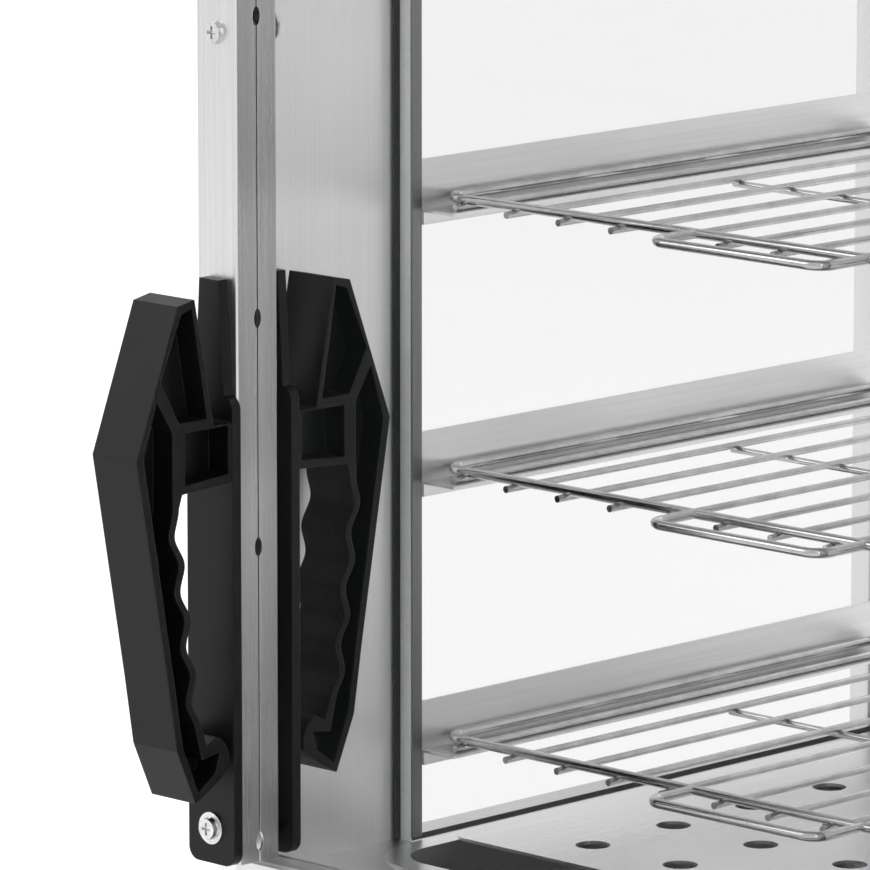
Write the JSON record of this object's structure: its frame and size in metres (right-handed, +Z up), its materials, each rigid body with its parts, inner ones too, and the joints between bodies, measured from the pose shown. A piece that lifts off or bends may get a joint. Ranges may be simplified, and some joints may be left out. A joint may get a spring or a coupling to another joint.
{
  "type": "countertop food steamer cabinet",
  "caption": "Glass-sided countertop cabinet that keeps food hot in steam on sliding wire racks, behind a hinged glass door with a grip handle on each face.",
  "frame": {"origin": "centre of the bounding box's bottom face, on the counter under the feet", "axes": "+X to the right seen from the front, +Y from the door to the rear, +Z up"},
  "size_m": [0.46, 0.599, 0.799],
  "materials": {
    "housing_steel": "fine brushed",
    "inner_steel": "satin",
    "stile_steel": "brushed along its length",
    "heater_steel": "heat-tinted",
    "wire_chrome": "bright plated",
    "screw_steel": "bright",
    "pane_glass": "clear with ground edges",
    "black_bead": "satin",
    "seal_silicone": "soft matt",
    "foot_rubber": "matt",
    "handle_plastic": "moulded satin",
    "knob_plastic": "satin",
    "dial_metal": "satin",
    "thermostat_plastic": "matt",
    "rocker_red": "gloss",
    "rocker_green": "gloss",
    "pilot_amber": "clear tinted",
    "valve_brass": "machined",
    "lever_paint": "gloss",
    "bulb_glass": "frosted"
  },
  "bodies": {
    "cabinet": {"base_housing": "housing_steel", "bottom_plate": "housing_steel", "feet": "foot_rubber", "water_tank": "inner_steel", "heating_element": "heater_steel", "steam_plate": "inner_steel", "post_front_left": "housing_steel", "post_front_right": "housing_steel", "post_rear_left": "housing_steel", "post_rear_right": "housing_steel", "side_glass_left": "pane_glass", "side_glass_right": "pane_glass", "glass_beads_left": "black_bead", "glass_beads_right": "black_bead", "uprights": "inner_steel", "rear_glass": "pane_glass", "rear_beads": "black_bead", "front_sill": "housing_steel", "front_header": "housing_steel", "roof_shell": "housing_steel", "ceiling": "inner_steel", "vent_pipe": "inner_steel", "vent_cap": "inner_steel", "lamp_socket": "thermostat_plastic", "lamp_bulb": "bulb_glass", "hinge_top": "inner_steel", "hinge_bottom": "inner_steel", "hinge_screws": "screw_steel", "catch_magnet": "knob_plastic", "thermostat": "thermostat_plastic", "dial": "dial_metal", "rocker_bezels": "knob_plastic", "pilot_lamps": "pilot_amber", "drain_pipe": "inner_steel", "drain_valve": "valve_brass", "cord_gland": "knob_plastic", "shelf_supports_1": "inner_steel", "shelf_supports_2": "inner_steel", "shelf_supports_3": "inner_steel", "shelf_supports_4": "inner_steel"},
    "door": {"door_glass": "pane_glass", "door_seal": "seal_silicone", "stile_outer_half": "stile_steel", "stile_inner_half": "stile_steel", "hinge_stile": "stile_steel", "handle_outer": "handle_plastic", "handle_inner": "handle_plastic", "door_screws": "screw_steel", "door_washers": "screw_steel", "catch_strike": "inner_steel"},
    "rack_first": {"rack_1": "wire_chrome"},
    "rack_second": {"rack_2": "wire_chrome"},
    "rack_third": {"rack_3": "wire_chrome"},
    "rack_fourth": {"rack_4": "wire_chrome"},
    "thermostat_knob": {"knob": "knob_plastic"},
    "power_rocker": {"rocker_power": "rocker_red"},
    "lamp_rocker": {"rocker_lamp": "rocker_green"},
    "drain_handle": {"drain_lever": "lever_paint"}
  },
  "joints": [
    {"name": "door_hinge", "type": "hinge", "parent": "cabinet", "child": "door", "pos_m": [0.222, -0.2205, 0], "axis": [0, 0, 1], "range_deg": [0, 110]},
    {"name": "rack_first_slide", "type": "slide", "parent": "cabinet", "child": "rack_first", "axis": [0, -1, 0], "range_m": [0, 0.05]},
    {"name": "rack_second_slide", "type": "slide", "parent": "cabinet", "child": "rack_second", "axis": [0, -1, 0], "range_m": [0, 0.05]},
    {"name": "rack_third_slide", "type": "slide", "parent": "cabinet", "child": "rack_third", "axis": [0, -1, 0], "range_m": [0, 0.05]},
    {"name": "rack_fourth_slide", "type": "slide", "parent": "cabinet", "child": "rack_fourth", "axis": [0, -1, 0], "range_m": [0, 0.05]},
    {"name": "knob_turn", "type": "hinge", "parent": "cabinet", "child": "thermostat_knob", "pos_m": [0.07, -0.2045, 0.092], "axis": [0, 1, 0], "range_deg": [0, 270]},
    {"name": "power_rocker_tilt", "type": "hinge", "parent": "cabinet", "child": "power_rocker", "pos_m": [-0.06, -0.1995, 0.092], "axis": [1, 0, 0], "range_deg": [0, 20]},
    {"name": "lamp_rocker_tilt", "type": "hinge", "parent": "cabinet", "child": "lamp_rocker", "pos_m": [-0.11, -0.1995, 0.092], "axis": [1, 0, 0], "range_deg": [0, 20]},
    {"name": "drain_lever_turn", "type": "hinge", "parent": "cabinet", "child": "drain_handle", "pos_m": [0.15, 0.2685, 0.062], "axis": [0, 0, -1], "range_deg": [0, 90]}
  ]
}
